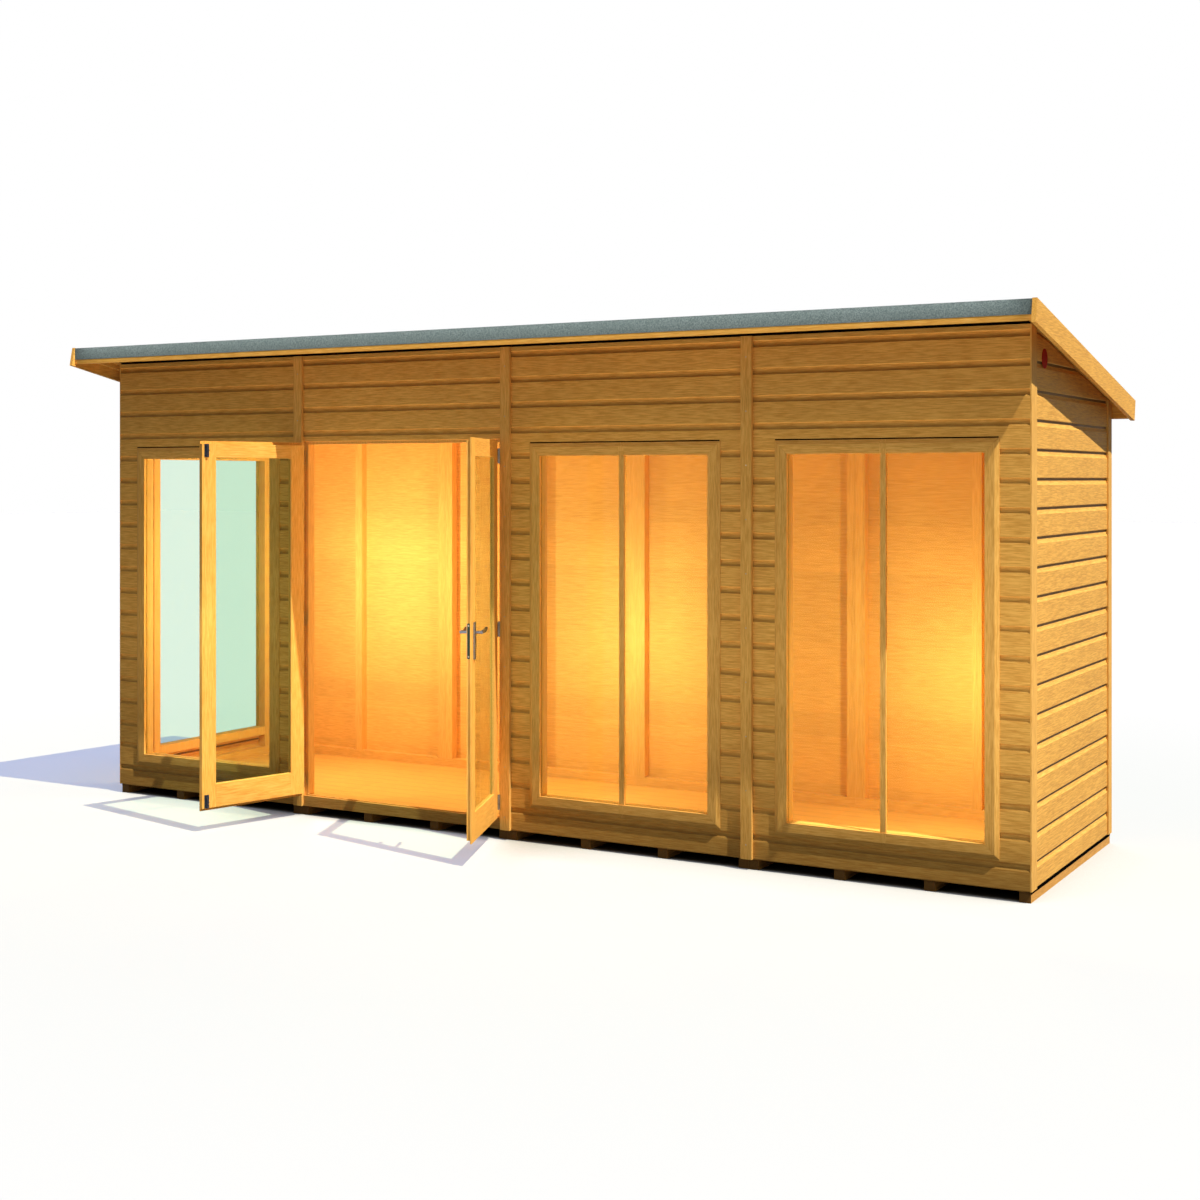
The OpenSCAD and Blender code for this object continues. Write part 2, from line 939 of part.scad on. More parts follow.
module roof_decks() {
    y0 = eave_y + felt_t + fascia_t + slope_gap;
    y1 = rear_y - felt_t - fascia_t - slope_gap;
    color("#a06c30")
    for (i = [0 : panels - 1]) {
        a = i == 0 ? -roof_end : panel_a(i);
        b = i == panels - 1 ? roof_end : panel_b(i);
        along_x(a, b)
            roof_layer(y0, y1, 0, board_t);
    }
}

module roof_rafters() {
    y1 = inner_d / 2 - joint_gap;
    color("#c99552")
    for (i = [1 : panels - 1])
        along_x(panel_x(i) - batten_w / 2, panel_x(i) + batten_w / 2)
            roof_layer(-y1, y1, -batten_w, -slope_gap);
}

// Felt over the boarding, turned down over both fascias
module roof_felt() {
    y0 = eave_y;
    y1 = rear_y;
    z0 = lift(y0, felt_n + felt_t) - felt_turn;
    z1 = lift(y1, felt_n + felt_t) - felt_turn;
    color("#64767a")
    along_x(-roof_end, roof_end)
        polygon([
            [y0, z0], [y0 + felt_t, z0], [y0 + felt_t, lift(y0 + felt_t, felt_n)],
            [y1 - felt_t, lift(y1 - felt_t, felt_n)], [y1 - felt_t, z1], [y1, z1],
            [y1, lift(y1, felt_n + felt_t)], [y0, lift(y0, felt_n + felt_t)]
        ]);
}

// Upright board from depth y0 to y1 under the felt
module fascia(y0, y1, z0) {
    along_x(-roof_end, roof_end)
        polygon([[y0, z0], [y1, z0], [y1, lift(y1, board_t)], [y0, lift(y0, board_t)]]);
}

module front_fascia() {
    y0 = eave_y + felt_t + slope_gap;
    color("#d39a4c")
        fascia(y0, y0 + fascia_t - slope_gap, lift(y0, board_t) - fascia_h);
}

module rear_fascia() {
    y1 = rear_y - felt_t - slope_gap;
    color("#d39a4c")
        fascia(y1 - fascia_t + slope_gap, y1, lift(y1, board_t) - fascia_h);
}

// Square-ended bargeboard along the slope, drawn on the right
module bargeboard() {
    s0 = (-over_front - barge_n * sin(pitch)) / cos(pitch);
    s1 = (body_d + over_rear - barge_n * sin(pitch)) / cos(pitch);
    color("#e6ad5c")
    along_x(barge_in, barge_in + barge_t)
        polygon([
            roof_pt(s0, barge_n - barge_h), roof_pt(s1, barge_n - barge_h),
            roof_pt(s1, barge_n), roof_pt(s0, barge_n)
        ]);
}

module bargeboard_left() {
    mirror([1, 0, 0])
        bargeboard();
}

module bargeboard_right() {
    bargeboard();
}

// Square battens under the boarding, inside each bargeboard
module roof_end_battens() {
    y0 = eave_y + felt_t + fascia_t + slope_gap;
    y1 = rear_y - felt_t - fascia_t - slope_gap;
    color("#d39a4c")
    for (side = [0, 1])
        mirror([side, 0, 0])
            along_x(roof_end - edge_batten, roof_end)
                roof_layer(y0, y1, -edge_batten, -slope_gap);
}

floor_bearers();
floor_decks();
front_cladding(0);  // front_cladding_1
front_cladding_over_door();  // front_cladding_2
front_cladding(2);  // front_cladding_3
front_cladding(3);  // front_cladding_4
rear_cladding();
left_cladding();
right_cladding();
front_frame(0);  // front_frame_1
front_frame_door();  // front_frame_2
front_frame(2);  // front_frame_3
front_frame(3);  // front_frame_4
rear_frame();
left_frame();
right_frame();
front_window_frame(0);  // window_frame_1
front_window_frame(2);  // window_frame_3
front_window_frame(3);  // window_frame_4
window_frame_left();
window_glass_front();
window_glass_left();
front_cover_strips();
corner_strips();
door_jambs();
door_sill();
door_hinge_posts();
door_left_leaf();
door_left_pane();
door_left_hinges();
door_left_bolts();
door_right_leaf();
door_right_pane();
door_right_hinges();
door_right_lock();
door_right_plates();
door_right_levers();
roof_decks();
roof_rafters();
roof_felt();
front_fascia();
rear_fascia();
bargeboard_left();
bargeboard_right();
roof_end_battens();
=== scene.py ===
"""Looks of the summerhouse: shiplap boards, fastenings and procedural materials round
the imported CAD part, with a plain pale studio. Everything is in metres."""
import json
import math

import bmesh
import bpy
from mathutils import Matrix, Vector


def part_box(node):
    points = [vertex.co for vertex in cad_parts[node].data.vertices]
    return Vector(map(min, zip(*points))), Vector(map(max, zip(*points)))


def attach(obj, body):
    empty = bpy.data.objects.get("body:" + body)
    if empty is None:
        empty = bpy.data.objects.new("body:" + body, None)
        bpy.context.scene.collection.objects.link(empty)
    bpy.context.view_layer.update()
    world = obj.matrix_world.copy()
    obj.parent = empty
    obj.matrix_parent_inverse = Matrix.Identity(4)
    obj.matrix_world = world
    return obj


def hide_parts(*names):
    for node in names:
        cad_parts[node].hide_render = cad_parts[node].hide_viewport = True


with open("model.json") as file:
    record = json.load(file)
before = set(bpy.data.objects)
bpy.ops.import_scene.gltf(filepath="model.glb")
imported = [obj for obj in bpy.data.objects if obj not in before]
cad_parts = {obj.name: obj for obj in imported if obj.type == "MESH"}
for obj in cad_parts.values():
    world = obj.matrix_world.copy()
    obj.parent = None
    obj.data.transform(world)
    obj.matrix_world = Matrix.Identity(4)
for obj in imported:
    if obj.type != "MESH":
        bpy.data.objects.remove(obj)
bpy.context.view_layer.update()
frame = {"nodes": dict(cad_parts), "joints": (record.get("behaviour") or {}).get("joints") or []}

MM = 0.001

# ---------------------------------------------------------------- sizes from the frame

front_lo, front_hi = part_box("front_cladding_1")
rear_lo, rear_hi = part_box("rear_cladding")
panel_lo, panel_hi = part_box("front_cladding_3")
batten_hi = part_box("front_frame_3")[1]

FRONT_Y = front_lo.y
REAR_Y = rear_hi.y
WALL_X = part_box("right_cladding")[1].x
CLAD_T = front_hi.y - FRONT_Y
CLAD_TOP = front_hi.z
PANEL_GAP = 0.5 * MM
PANEL_W = panel_hi.x - panel_lo.x + PANEL_GAP
FLOOR_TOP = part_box("floor_decks")[1].z

WINDOW_LO, WINDOW_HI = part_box("window_frame_3")
WINDOW_W = WINDOW_HI.x - WINDOW_LO.x
WINDOW_H = WINDOW_HI.z - WINDOW_LO.z
WINDOW_MID_Z = (WINDOW_LO.z + WINDOW_HI.z) / 2
left_window_lo, left_window_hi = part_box("window_frame_left")
LEFT_WINDOW_MID_Y = (left_window_lo.y + left_window_hi.y) / 2
WINDOW_NODES = ("window_frame_1", "window_frame_3", "window_frame_4")

# How far the roof drops for each metre towards the rear
FALL = (CLAD_TOP - rear_hi.z) / (REAR_Y - FRONT_Y)

# Leaves: how far each turns to close, and what lies between the hinge pins
joints = {j["name"]: j for j in frame["joints"]}
LEFT_PIN = Vector(joints["left_door_swing"]["pos_m"])
RIGHT_PIN = Vector(joints["right_door_swing"]["pos_m"])
LEFT_TURN = math.radians(joints["left_door_swing"]["range_deg"][1])
RIGHT_TURN = math.radians(joints["right_door_swing"]["range_deg"][1])
DOOR_GAP = 5 * MM
LEAF_W = (RIGHT_PIN.x - LEFT_PIN.x - 2 * DOOR_GAP) / 2
STILE_W = 75 * MM

# Shiplap: one board's cover, its lip and the cove below the next board's lip
BOARD_COVER = 113.77 * MM
FIRST_LIP = 147.3 * MM
COVE_D = 6.6 * MM
COVE_STEP = 3.5 * MM
COVE_H = 26.5 * MM
LIP_R = 3.5 * MM
COVE_STEPS = 7
LIP_STEPS = 3


# ---------------------------------------------------------------- small mesh helpers

def new_object(name, bm, material, body="house"):
    """A mesh object made from a bmesh, with one material, riding on a body."""
    bmesh.ops.recalc_face_normals(bm, faces=bm.faces)
    mesh = bpy.data.meshes.new(name)
    bm.to_mesh(mesh)
    bm.free()
    mesh.materials.append(material)
    obj = bpy.data.objects.new(name, mesh)
    bpy.context.scene.collection.objects.link(obj)
    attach(obj, body)
    return obj


def add_prism(bm, outline, start, end):
    """Adds a closed solid: an outline of vectors, moved by start and by end."""
    rings = [[bm.verts.new(p + shift) for p in outline] for shift in (start, end)]
    n = len(outline)
    for i in range(n):
        j = (i + 1) % n
        bm.faces.new((rings[0][i], rings[0][j], rings[1][j], rings[1][i]))
    bm.faces.new(rings[0][::-1])
    bm.faces.new(rings[1])


def add_box(bm, low, high):
    """Adds a box between two corners."""
    size = [h - l for l, h in zip(low, high)]
    centre = [(h + l) / 2 for l, h in zip(low, high)]
    bmesh.ops.create_cube(
        bm, size=1, matrix=Matrix.Translation(centre) @ Matrix.Diagonal((*size, 1)))


def boolean(obj, cutters):
    """Cuts the solids of a bmesh out of an object for good."""
    mesh = bpy.data.meshes.new("cutter")
    cutters.to_mesh(mesh)
    cutters.free()
    tool = bpy.data.objects.new("cutter", mesh)
    bpy.context.scene.collection.objects.link(tool)
    cut = obj.modifiers.new("cut", "BOOLEAN")
    cut.operation = "DIFFERENCE"
    cut.solver = "EXACT"
    cut.use_self = True
    cut.object = tool
    bpy.context.view_layer.update()
    result = bpy.data.meshes.new_from_object(
        obj.evaluated_get(bpy.context.evaluated_depsgraph_get()))
    obj.modifiers.clear()
    old = obj.data
    obj.data = result
    result.name = obj.name
    bpy.data.meshes.remove(old)
    bpy.data.objects.remove(tool)
    bpy.data.meshes.remove(mesh)


# ---------------------------------------------------------------- materials

# A mix node's sockets for its two values and its result, for each kind of data
MIX_SOCKETS = {"VECTOR": (4, 5, 1), "RGBA": (6, 7, 2)}


class Nodes:
    """Short ways to write the node tree of a material or of the world."""

    def __init__(self, owner):
        owner.use_nodes = True
        self.owner = owner
        self.tree = owner.node_tree
        self.tree.nodes.clear()

    def add(self, kind, *values, **named):
        """A node of one kind. values go to its inputs in order, by socket or value;
        named ones are its settings."""
        node = self.tree.nodes.new(kind)
        for key, value in named.items():
            setattr(node, key, value)
        for i, value in enumerate(values):
            self.put(node.inputs[i], value)
        return node

    def put(self, socket, value):
        """Links a socket, or sets its plain value."""
        if value is None:
            return
        if isinstance(value, bpy.types.NodeSocket):
            self.tree.links.new(value, socket)
        else:
            socket.default_value = value

    def position(self):
        """The place of each point, in the object's own coordinates."""
        return self.add("ShaderNodeTexCoord").outputs["Object"]

    def facing(self, axis):
        """How much the surface faces along one axis: 0 for x, 1 for y, 2 for z."""
        normal = self.add("ShaderNodeNewGeometry").outputs["True Normal"]
        return self.parts(normal)[axis]

    def parts(self, vector):
        """The x, y and z of a vector."""
        return self.add("ShaderNodeSeparateXYZ", vector).outputs

    def math(self, operation, a, b=None):
        """One operation on numbers."""
        return self.add("ShaderNodeMath", a, b, operation=operation).outputs[0]

    def vector_math(self, operation, a, b):
        """One operation on vectors."""
        return self.add("ShaderNodeVectorMath", a, b, operation=operation).outputs[0]

    def product(self, first, *others):
        """Several factors multiplied together."""
        for other in others:
            first = self.math("MULTIPLY", first, other)
        return first

    def mix(self, factor, a, b, kind="RGBA"):
        """Mix of two colours, or of two vectors."""
        node = self.add("ShaderNodeMix", factor, data_type=kind)
        first, second, result = MIX_SOCKETS[kind]
        self.put(node.inputs[first], a)
        self.put(node.inputs[second], b)
        return node.outputs[result]

    def noise(self, vector, scale, detail=2.0, rough=0.5):
        """Smooth noise from 0 to 1."""
        node = self.add("ShaderNodeTexNoise")
        self.put(node.inputs["Vector"], vector)
        node.inputs["Scale"].default_value = scale
        node.inputs["Detail"].default_value = detail
        node.inputs["Roughness"].default_value = rough
        return node.outputs[0]

    def ramp(self, value, low, high, to_low=0.0, to_high=1.0):
        """Runs from to_low at low to to_high at high, and is level outside them."""
        return self.add("ShaderNodeMapRange", value, low, high, to_low, to_high).outputs[0]

    def shader(self, colour, roughness, bump=None, strength=0.3, distance=0.5 * MM, **plain):
        """The Principled shader, on the output."""
        node = self.add("ShaderNodeBsdfPrincipled")
        self.put(node.inputs["Base Color"], colour)
        self.put(node.inputs["Roughness"], roughness)
        for key, value in plain.items():
            node.inputs[key.replace("_", " ")].default_value = value
        if bump is not None:
            bumps = self.add("ShaderNodeBump")
            bumps.inputs["Strength"].default_value = strength
            bumps.inputs["Distance"].default_value = distance
            self.put(bumps.inputs["Height"], bump)
            self.put(node.inputs["Normal"], bumps.outputs[0])
        self.out(node.outputs[0])

    def out(self, socket, kind="ShaderNodeOutputMaterial"):
        """Puts a shader on the tree's output."""
        self.add(kind, socket)


def rgb(r, g, b):
    """A colour written in sRGB levels of 0 to 255, as linear values."""
    def linear(c):
        c /= 255
        return c / 12.92 if c <= 0.04045 else ((c + 0.055) / 1.055) ** 2.4
    return (linear(r), linear(g), linear(b), 1)


# Grain: how fine it is along a board and across it, how far each board's is shifted, and
# the parts of its figure that run from the dark tone to the middle one and on to the light
GRAIN_ALONG = 7.0
GRAIN_ACROSS = 125.0
GRAIN_SCALES = {"X": (GRAIN_ALONG, GRAIN_ACROSS, GRAIN_ACROSS),
                "Y": (GRAIN_ACROSS, GRAIN_ALONG, GRAIN_ACROSS),
                "Z": (GRAIN_ACROSS, GRAIN_ACROSS, GRAIN_ALONG)}
BOARD_SHIFTS = (37.0, 91.0, 53.0)
DARK_TO_MID = (0.34, 0.53)
MID_TO_LIGHT = (0.49, 0.66)
WOOD_GLOSS = 0.15

# Brightness of a stain: the most that boards and blotches differ, its factors for painted
# shade on the coves' slopes, painted highlight on the lips, painted shadow under the lips,
# dark seams, and painted shade near the ground and on the bearers' ends, and the heights
# over which the painted shade near the ground fades
BOARD_TONE = 0.12
BLOTCH_TONE = 0.16
COVE_PAINTED_SHADE = 0.58
LIP_PAINTED_HIGHLIGHT = 1.35
LIP_PAINTED_SHADOW = 0.25
SEAM_SHADE = 0.3
LOW_PAINTED_SHADE = 0.62
END_PAINTED_SHADE = 0.3
LOW_SHADE_FROM = 0.08
LOW_SHADE_TO = 0.26


def turned(n, position, pivot, angle):
    """Coordinates about an upright axis through a pivot, turned back by an angle."""
    moved = n.vector_math("SUBTRACT", position, pivot)
    return n.add("ShaderNodeVectorRotate", moved, (0, 0, 0), (0, 0, 1), angle,
                 rotation_type="AXIS_ANGLE").outputs[0]


def grain(n, position, along, members, board):
    """Coordinates drawn out along the grain, from another place for each board."""
    streaks = n.vector_math("MULTIPLY", position, GRAIN_SCALES[along])
    if members:
        upright = n.vector_math("MULTIPLY", position, GRAIN_SCALES["Z"])
        streaks = n.mix(members(n, position), streaks, upright, "VECTOR")
    shift = n.add("ShaderNodeCombineXYZ", *(n.product(board, far) for far in BOARD_SHIFTS))
    return n.vector_math("ADD", streaks, shift.outputs[0])


def joints_and_painted_light(n, position, coves, seams, shaded_ends, shaded_low):
    """A stain's brightness from dark seams and from painted shade and highlights: one factor for
    each kind asked for.
    """
    x_y_z = n.parts(position)
    factors = []
    # Painted shade on the coves' upward slopes and a painted highlight on the lips' undersides,
    # set by which way each face turns
    if coves == "painted_slopes":
        lift = n.facing(2)
        factors.append(n.ramp(lift, 0.1, 0.4, 1.0, COVE_PAINTED_SHADE))
        factors.append(n.ramp(lift, -0.2, -0.6, 1.0, LIP_PAINTED_HIGHLIGHT))
    # Painted shadow in a band just under each lip
    elif coves == "deep":
        below = n.math("FLOORED_MODULO", n.math("SUBTRACT", FIRST_LIP, x_y_z[2]), BOARD_COVER)
        factors.append(n.ramp(below, 9 * MM, 11 * MM, LIP_PAINTED_SHADOW, 1.0))
    if seams:
        axis, pitch = seams
        across = n.math("FLOORED_MODULO", x_y_z[axis], pitch)
        factors.append(n.ramp(across, 1.5 * MM, 3 * MM, SEAM_SHADE, 1.0))
    # Painted shade near the ground, darker towards the bottom
    if shaded_low:
        factors.append(n.ramp(x_y_z[2], LOW_SHADE_FROM, LOW_SHADE_TO, LOW_PAINTED_SHADE, 1.0))
    # Painted shade on faces turned to the front and rear, as on the bearers' ends
    if shaded_ends:
        factors.append(n.ramp(n.math("ABSOLUTE", n.facing(1)), 0.6, 0.8, 1.0, END_PAINTED_SHADE))
    return factors


def wood(name, dark, mid, light, along="X", members=None, turn=None, coves="",
         seams=None, shaded_ends=False, shaded_low=False):
    """Planed softwood with a stain. along is the grain's axis, and members is a function
    that gives a factor of 1 where the grain runs up instead. turn is a pivot and an
    angle, for wood that stands turned about an upright axis. coves is for shiplap:
    "painted_slopes" has painted shade on the coves' upward slopes and a painted highlight
    on the lips, "deep" has a painted shadow in a band under each lip. seams is an axis
    and a pitch, for matched boards with dark joints. shaded_ends gives painted shade on faces
    turned to the front and rear, as on the bearers' ends. shaded_low gives painted shade on
    wood near the ground, darker towards the bottom."""
    n = Nodes(bpy.data.materials.new(name))
    position = n.position()
    if turn:
        position = turned(n, position, *turn)
    board = n.add("ShaderNodeNewGeometry").outputs["Random Per Island"]
    streaks = grain(n, position, along, members, board)
    fine = n.noise(streaks, scale=2.1, detail=3.0, rough=0.65)
    broad = n.noise(streaks, scale=1.0)
    blotch = n.noise(position, scale=5.0)
    figure = n.math("ADD", n.product(fine, 0.9), n.product(broad, 0.1))
    colour = n.mix(n.ramp(figure, *DARK_TO_MID), dark, mid)
    colour = n.mix(n.ramp(figure, *MID_TO_LIGHT), colour, light)
    shade = n.math("ADD", n.product(n.math("SUBTRACT", board, 0.5), BOARD_TONE),
                   n.product(n.math("SUBTRACT", blotch, 0.5), BLOTCH_TONE))
    gain = n.product(n.math("ADD", shade, 1.0),
                     *joints_and_painted_light(n, position, coves, seams, shaded_ends, shaded_low))
    toned = n.add("ShaderNodeVectorMath", colour, operation="SCALE")
    n.put(toned.inputs["Scale"], gain)
    n.shader(toned.outputs[0], n.ramp(fine, 0.3, 0.7, 0.55, 0.72), bump=fine,
             strength=0.35, distance=0.6 * MM, Specular_IOR_Level=WOOD_GLOSS)
    return n.owner


def window_members(axis, middle, period=0.0):
    """Factor of 1 on a mitred frame's upright members and its middle bar. period is the
    distance from one window to the next."""
    half_bar = 14 * MM

    def mask(n, position):
        x_y_z = n.parts(position)
        u = n.math("SUBTRACT", x_y_z[axis], middle)
        if period:
            u = n.math("ADD", u, period / 2)
            u = n.math("SUBTRACT", n.math("FLOORED_MODULO", u, period), period / 2)
        u = n.math("ABSOLUTE", u)
        height = n.math("ABSOLUTE", n.math("SUBTRACT", x_y_z[2], WINDOW_MID_Z))
        side = n.math("GREATER_THAN", n.math("SUBTRACT", u, WINDOW_W / 2),
                      n.math("SUBTRACT", height, WINDOW_H / 2))
        return n.math("MAXIMUM", side, n.math("LESS_THAN", u, half_bar))
    return mask


def rails_mask(*bands):
    """Factor of 0 inside level bands of height, and 1 elsewhere."""
    def mask(n, position):
        z = n.parts(position)[2]
        inside = 0.0
        for low, high in bands:
            band = n.product(n.math("GREATER_THAN", z, low), n.math("LESS_THAN", z, high))
            inside = n.math("MAXIMUM", band, inside)
        return n.math("SUBTRACT", 1.0, inside)
    return mask


def stile_mask(n, position):
    """Factor of 1 on the stiles of a leaf whose coordinates start at its hinge pin."""
    u = n.math("ABSOLUTE", n.parts(position)[0])
    from_middle = n.math("ABSOLUTE", n.math("SUBTRACT", u, (LEAF_W + DOOR_GAP) / 2))
    return n.math("GREATER_THAN", from_middle, LEAF_W / 2 - STILE_W)


# Low, so that a thin pane mirrors little
GLASS_IOR = 1.15


def glass(name, tint, shadow_tint):
    """Thin tinted glass. Lamps and bounced light pass straight through it."""
    n = Nodes(bpy.data.materials.new(name))
    pane = n.add("ShaderNodeBsdfPrincipled")
    pane.inputs["Base Color"].default_value = tint
    pane.inputs["Roughness"].default_value = 0.0
    pane.inputs["Transmission Weight"].default_value = 1.0
    pane.inputs["IOR"].default_value = GLASS_IOR
    clear = n.add("ShaderNodeBsdfTransparent", shadow_tint)
    path = n.add("ShaderNodeLightPath").outputs
    passing = n.math("MAXIMUM", path["Is Shadow Ray"], path["Is Diffuse Ray"])
    n.out(n.add("ShaderNodeMixShader", passing, pane.outputs[0], clear.outputs[0]).outputs[0])
    return n.owner


METAL_GRAIN = 400.0
METAL_CLOUD = METAL_GRAIN / 12


def metal(name, dark, light, roughness, metallic=1.0, specular=0.5):
    """Metal or painted metal with fine wear."""
    n = Nodes(bpy.data.materials.new(name))
    position = n.position()
    scratches = n.noise(position, METAL_GRAIN, detail=3.0)
    cloud = n.noise(position, METAL_CLOUD)
    factor = n.math("ADD", n.product(scratches, 0.5), n.product(cloud, 0.5))
    colour = n.mix(n.ramp(factor, 0.35, 0.65), dark, light)
    n.shader(colour, n.ramp(scratches, 0.3, 0.7, roughness - 0.08, roughness + 0.1),
             bump=scratches, strength=0.1, distance=0.1 * MM, Metallic=metallic,
             Specular_IOR_Level=specular)
    return n.owner


def felt(name):
    """Mineral roofing felt: coarse grit over a soft cloudy tone."""
    n = Nodes(bpy.data.materials.new(name))
    position = n.position()
    grit = n.noise(position, scale=240.0, detail=3.0, rough=0.8)
    cloud = n.noise(position, scale=6.0, detail=3.0)
    colour = n.mix(n.ramp(grit, 0.35, 0.65), rgb(70, 84, 84), rgb(130, 144, 144))
    colour = n.mix(n.ramp(cloud, 0.3, 0.7, 0.0, 0.25), colour, rgb(92, 108, 108))
    n.shader(colour, n.ramp(grit, 0.3, 0.7, 0.85, 0.97), bump=grit, strength=0.5,
             distance=0.8 * MM)
    return n.owner


# Stains, each from dark to light: walls, joinery and trim, doors, planed wood inside,
# and bearers with a preservative
STAIN = (rgb(212, 150, 66), rgb(234, 175, 84), rgb(248, 192, 98))
JOINERY = (rgb(214, 154, 70), rgb(236, 178, 88), rgb(248, 194, 104))
DOOR = (rgb(226, 158, 68), rgb(243, 180, 82), rgb(251, 194, 99))
INSIDE = (rgb(224, 168, 84), rgb(236, 182, 92), rgb(243, 192, 102))
TREATED = (rgb(196, 136, 64), rgb(216, 156, 76), rgb(230, 172, 92))

# Boards on the roof and floor, and bands of height that hold the framing's level battens
BOARD_PITCH = 95 * MM
BATTEN_BANDS = ((0, FLOOR_TOP + 45 * MM), (batten_hi.z - 60 * MM, batten_hi.z + 1))

# Painted light on these woods: shade on the coves' upward slopes and highlight on the lips (front
# and rear boards), shadow under each lip (end boards), shade near the ground (front boards, sill,
# window frames)
m_boards_x = wood("cladding boards", *STAIN, along="X", coves="painted_slopes", shaded_low=True)
m_boards_rear = wood("rear cladding boards", *INSIDE, along="X", coves="painted_slopes")
m_boards_y = wood("side cladding boards", *STAIN, along="Y", coves="deep")
m_strip = wood("upright strips", *JOINERY, along="Z")
m_level = wood("level boards", *JOINERY, along="X", shaded_low=True)
m_roof = wood("roof boards", *STAIN, along="Y", seams=(0, BOARD_PITCH))
m_barge = wood("bargeboards", *STAIN, along="Y")
m_fascia = wood("fascia boards", *DOOR, along="X")
m_deck = wood("floor boards", *INSIDE, along="X", seams=(1, BOARD_PITCH))
# The bearers' front and rear faces carry painted shade
m_bearer = wood("treated bearers", *TREATED, along="Y", shaded_ends=True)
m_window = wood("window frames", *JOINERY, shaded_low=True,
                members=window_members(0, PANEL_W / 2, PANEL_W))
m_window_left = wood("end window frame", *JOINERY, along="Y",
                     members=window_members(1, LEFT_WINDOW_MID_Y))
m_frame_x = wood("front and rear framing", *INSIDE, members=rails_mask(*BATTEN_BANDS))
m_frame_y = wood("end framing", *INSIDE, along="Y", members=rails_mask(BATTEN_BANDS[0]))
m_left_leaf = wood("left leaf", *DOOR, members=stile_mask, turn=(LEFT_PIN, LEFT_TURN))
m_right_leaf = wood("right leaf", *DOOR, members=stile_mask, turn=(RIGHT_PIN, -RIGHT_TURN))
m_glass = glass("window glass", (0.846, 0.947, 0.868, 1), (0.92, 0.973, 0.932, 1))
m_pane = glass("door glass", (0.795, 0.913, 0.82, 1), (0.84, 0.94, 0.88, 1))
m_steel = metal("hinge steel", rgb(118, 116, 108), rgb(172, 170, 160), 0.38)
m_handle = metal("brushed handle metal", rgb(120, 128, 140), rgb(168, 176, 188), 0.32)
m_bolt = metal("dark bolt metal", rgb(36, 40, 52), rgb(66, 74, 92), 0.45, metallic=0.6)
m_lock = metal("painted lock plate", rgb(30, 48, 38), rgb(52, 74, 58), 0.5, metallic=0.3)
m_felt = felt("mineral felt")
m_disc = metal("painted disc", rgb(158, 30, 14), rgb(186, 42, 20), 0.7, metallic=0.0, specular=0.1)
m_nail = metal("nail and screw heads", rgb(168, 160, 140), rgb(214, 206, 186), 0.4)
m_nail_dull = metal("dull clout nails", rgb(84, 90, 90), rgb(128, 134, 134), 0.6)
# Near-black for strips that stand in for shade: painted shade in the gaps under the eaves, over
# the window heads and above the bearers
m_shade_black = metal("painted shade black", rgb(5, 4, 4), rgb(12, 11, 9), 0.9, metallic=0.0, specular=0.0)

NODE_MATERIALS = {
    m_bearer: ["floor_bearers"],
    m_deck: ["floor_decks"],
    m_frame_x: ["front_frame_1", "front_frame_2", "front_frame_3", "front_frame_4",
                "rear_frame"],
    m_frame_y: ["left_frame", "right_frame"],
    m_window: WINDOW_NODES,
    m_window_left: ["window_frame_left"],
    m_glass: ["window_glass_front", "window_glass_left"],
    m_pane: ["door_left_pane", "door_right_pane"],
    m_strip: ["front_cover_strips", "corner_strips", "door_jambs"],
    m_level: ["door_sill"],
    m_fascia: ["front_fascia", "rear_fascia"],
    m_steel: ["door_hinge_posts", "door_left_hinges", "door_right_hinges"],
    m_left_leaf: ["door_left_leaf"],
    m_right_leaf: ["door_right_leaf"],
    m_bolt: ["door_left_bolts"],
    m_lock: ["door_right_lock"],
    m_handle: ["door_right_plates", "door_right_levers"],
    m_roof: ["roof_decks", "roof_rafters"],
    m_barge: ["bargeboard_left", "bargeboard_right", "roof_end_battens"],
    m_felt: ["roof_felt"],
}
for material, names in NODE_MATERIALS.items():
    for name in names:
        mesh = frame["nodes"][name].data
        mesh.materials.clear()
        mesh.materials.append(material)


# ---------------------------------------------------------------- shiplap boards

class Wall:
    """A wall's own frame: u along it, v inwards from its outer face, z up."""

    def __init__(self, origin, along, inward):
        self.origin, self.along, self.inward = Vector(origin), Vector(along), Vector(inward)

    def point(self, u, v, z):
        """Where a place on the wall lies in the shared frame."""
        return self.origin + self.along * u + self.inward * v + Vector((0, 0, z))


FRONT = Wall((0, FRONT_Y, 0), (1, 0, 0), (0, 1, 0))
REAR = Wall((0, REAR_Y, 0), (-1, 0, 0), (0, -1, 0))
LEFT = Wall((-WALL_X, 0, 0), (0, -1, 0), (1, 0, 0))
RIGHT = Wall((WALL_X, 0, 0), (0, 1, 0), (-1, 0, 0))


# How far a cutter reaches out past a wall's face and ends, inwards, and over its top
CUT_OUT = 20 * MM
CUT_IN = 50 * MM
CUT_UP = 200 * MM
LEAST_BOARD = 2 * MM
MOST_BOARDS = 40


def board_outline(z0, z1, has_cove):
    """One board's section as (v, z): flat face, rounded lip, cove below the next lip."""
    points = [(CLAD_T, z0)]
    for i in range(LIP_STEPS + 1):
        turn = math.pi / 2 * i / LIP_STEPS
        points.append((LIP_R * (1 - math.sin(turn)), z0 + LIP_R * (1 - math.cos(turn))))
    if has_cove:
        cove_low, cove_top = z1 - COVE_H, z1 - COVE_STEP
        for i in range(COVE_STEPS + 1):
            s = 1 - i / COVE_STEPS
            z = cove_top + (cove_low - cove_top) * s
            v = COVE_D * (1 - s * s)
            if z > z0 + LIP_R:
                points.append((v, z))
        points.append((COVE_D, z1))
    else:
        points.append((0, z1))
    points.append((CLAD_T, z1))
    return points


